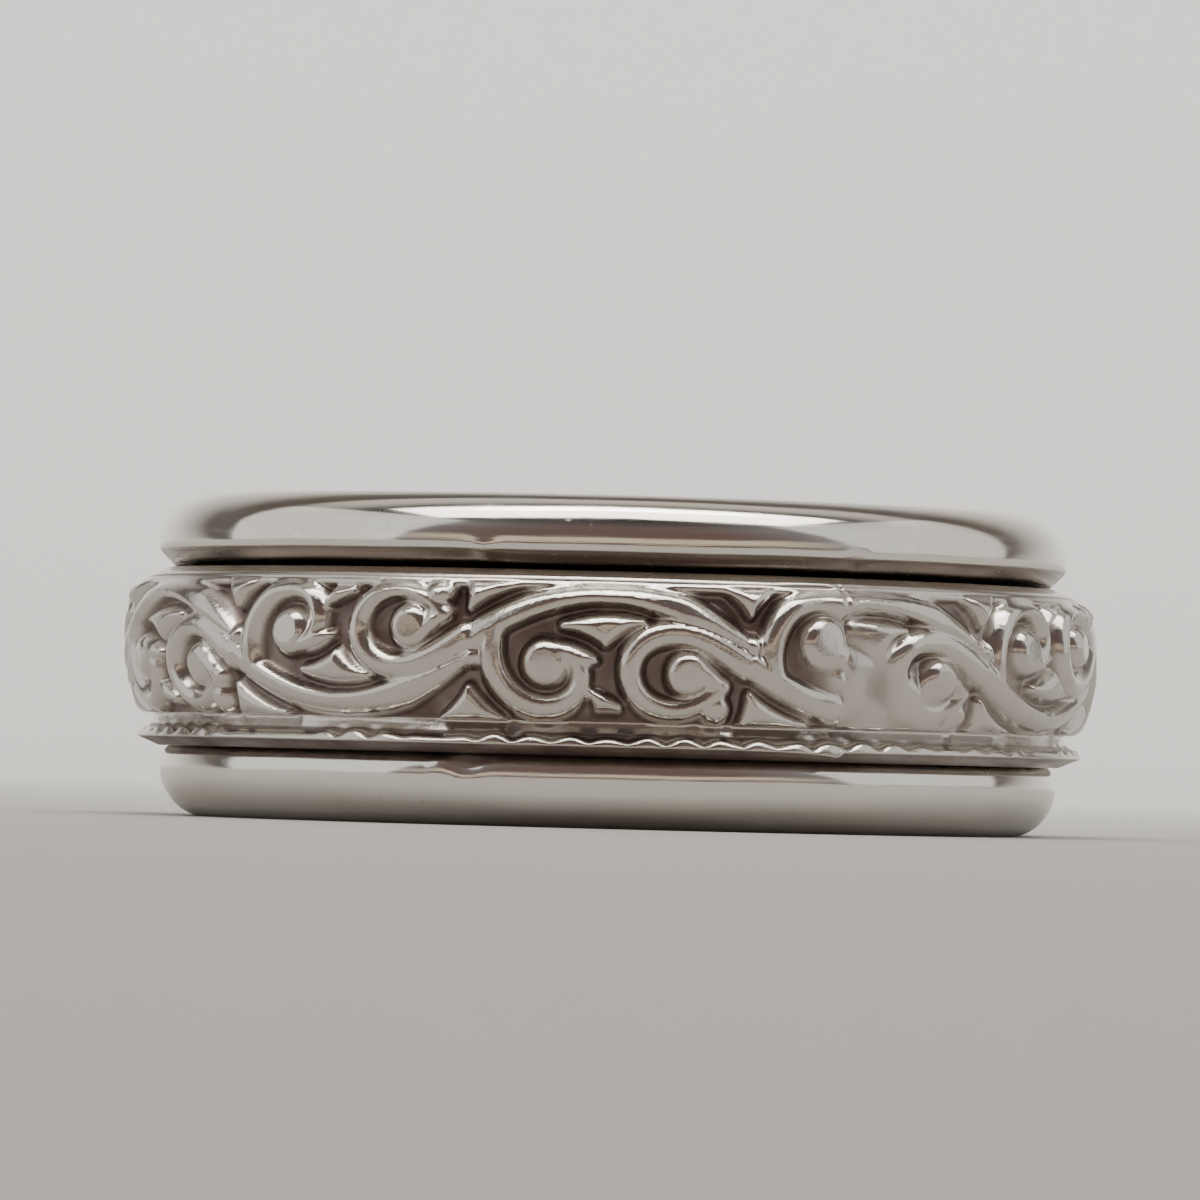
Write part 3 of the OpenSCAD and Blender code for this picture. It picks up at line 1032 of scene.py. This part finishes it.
def sweep_floor():
    """A pale floor that bends up into a backdrop behind the ring, in metres."""
    side, front, back, top, bend = 0.9, -0.9, 0.5, 0.9, 0.25
    line = [(front, 0.0), (back - bend, 0.0)]
    line += [(back - bend + bend * math.sin(a), bend - bend * math.cos(a))
             for a in np.radians(np.arange(10, 91, 10))]
    line += [(back, top)]
    points = [(x, y, z) for y, z in line for x in (-side, side)]
    faces = [(2 * i, 2 * i + 1, 2 * i + 3, 2 * i + 2) for i in range(len(line) - 1)]
    mesh = bpy.data.meshes.new("floor")
    mesh.from_pydata(points, [], faces)
    mesh.shade_smooth()
    floor = bpy.data.objects.new("floor", mesh)
    bpy.context.scene.collection.objects.link(floor)
    paint = bpy.data.materials.new("pale floor")
    paint.use_nodes = True
    shader = paint.node_tree.nodes["Principled BSDF"]
    shader.inputs["Base Color"].default_value = FLOOR_PAINT
    shader.inputs["Roughness"].default_value = 0.7
    mesh.materials.append(paint)
    print("floor with", len(faces), "faces")


sweep_floor()

# %% Lights


def soft_box(name, place, aim, size, watts, colour):
    """A soft rectangular light at place that looks at aim, in metres."""
    light = bpy.data.lights.new(name, "AREA")
    light.shape = "RECTANGLE"
    light.size, light.size_y = size
    light.energy = watts
    light.color = colour
    lamp = bpy.data.objects.new(name, light)
    bpy.context.scene.collection.objects.link(lamp)
    lamp.location = place
    lamp.rotation_euler = (Vector(aim) - Vector(place)).to_track_quat("-Z", "Y").to_euler()
    return lamp


middle = (0, 0, 0.004)
soft_box("top", (0.0, -0.10, 0.42), middle, (0.60, 0.22), 2.0, (1.0, 0.95, 0.86))
backdrop = soft_box("backdrop", (0.0, 0.05, 0.60), (0, 0.42, 0.06), (0.70, 0.30), 2.6,
                    (1.0, 0.99, 0.96))
backdrop.data.spread = math.radians(80)
soft_box("left", (-0.55, -0.05, 0.25), middle, (0.70, 0.60), 1.0, (1.0, 0.98, 0.95))
soft_box("right", (0.55, 0.0, 0.28), middle, (0.70, 0.60), 0.9, (1.0, 0.98, 0.95))

# %% The room
SIDES, FRONT, WARM_STRIP = (0.26, 0.256, 0.25, 1), (0.17, 0.115, 0.105, 1), (0.80, 0.68, 0.52, 1)
CEILING_FRONT, CEILING_BACK = (0.05, 0.045, 0.045, 1), (0.75, 0.70, 0.62, 1)


def room():
    """Grey at the sides, brown with a warm strip in front, and a ceiling bright at the back."""
    world = bpy.data.worlds.new("room")
    bpy.context.scene.world = world
    world.use_nodes = True
    tree = world.node_tree
    way = add_node(tree, "ShaderNodeTexCoord").outputs["Generated"]
    parts = add_node(tree, "ShaderNodeSeparateXYZ", None, {0: way})
    behind, up = Sum(tree, parts.outputs[1]), Sum(tree, parts.outputs[2])

    def mixed(share, low, high):
        """Colour that goes from low to high with share."""
        node = add_node(tree, "ShaderNodeMix", {"data_type": "RGBA"},
                        {0: share.socket, 6: low, 7: high})
        return node.outputs[2]

    strip = up.over(0.08, 0.12) * (1 - up.over(0.22, 0.28))
    ahead = mixed(strip, FRONT, WARM_STRIP)
    walls = mixed((behind * -1).over(0.35, 0.85), SIDES, ahead)
    ceiling = mixed(behind.over(0.05, 0.35), CEILING_FRONT, CEILING_BACK)
    colour = mixed(up.over(0.60, 0.85), walls, ceiling)
    tree.links.new(colour, tree.nodes["Background"].inputs["Color"])
    tree.nodes["Background"].inputs["Strength"].default_value = 1.0
    print("room with", len(tree.nodes), "nodes")


room()

# %% Camera
PHOTO_PX = 1200
RING_PX = (608, 662)
LENS_PX = 9242.0
SENSOR = 36.0
CAMERA_AWAY = 0.220
CAMERA_TILT, CAMERA_ROLL = math.radians(-0.6), math.radians(-1.5)
CAMERA_AIM_Z = 0.0039


def photo_camera():
    """The photograph's long lens, looking up a little from just above the floor."""
    camera = bpy.data.objects.new("camera", bpy.data.cameras.new("camera"))
    bpy.context.scene.collection.objects.link(camera)
    camera.data.sensor_width = SENSOR
    camera.data.lens = SENSOR * LENS_PX / PHOTO_PX
    camera.location = (0.0, -CAMERA_AWAY * math.cos(CAMERA_TILT),
                       CAMERA_AIM_Z + CAMERA_AWAY * math.sin(CAMERA_TILT))
    camera.rotation_mode = "XYZ"
    camera.rotation_euler = (math.pi / 2 - CAMERA_TILT, CAMERA_ROLL, 0.0)
    camera.data.shift_x = -(RING_PX[0] - PHOTO_PX / 2) / PHOTO_PX
    camera.data.shift_y = (RING_PX[1] - PHOTO_PX / 2) / PHOTO_PX
    camera.data.clip_start, camera.data.clip_end = 0.01, 10
    bpy.context.scene.camera = camera
    height = camera.location.z * 1000
    print(f"camera with a {camera.data.lens:.1f} mm lens, {height:.2f} mm over the floor")


photo_camera()
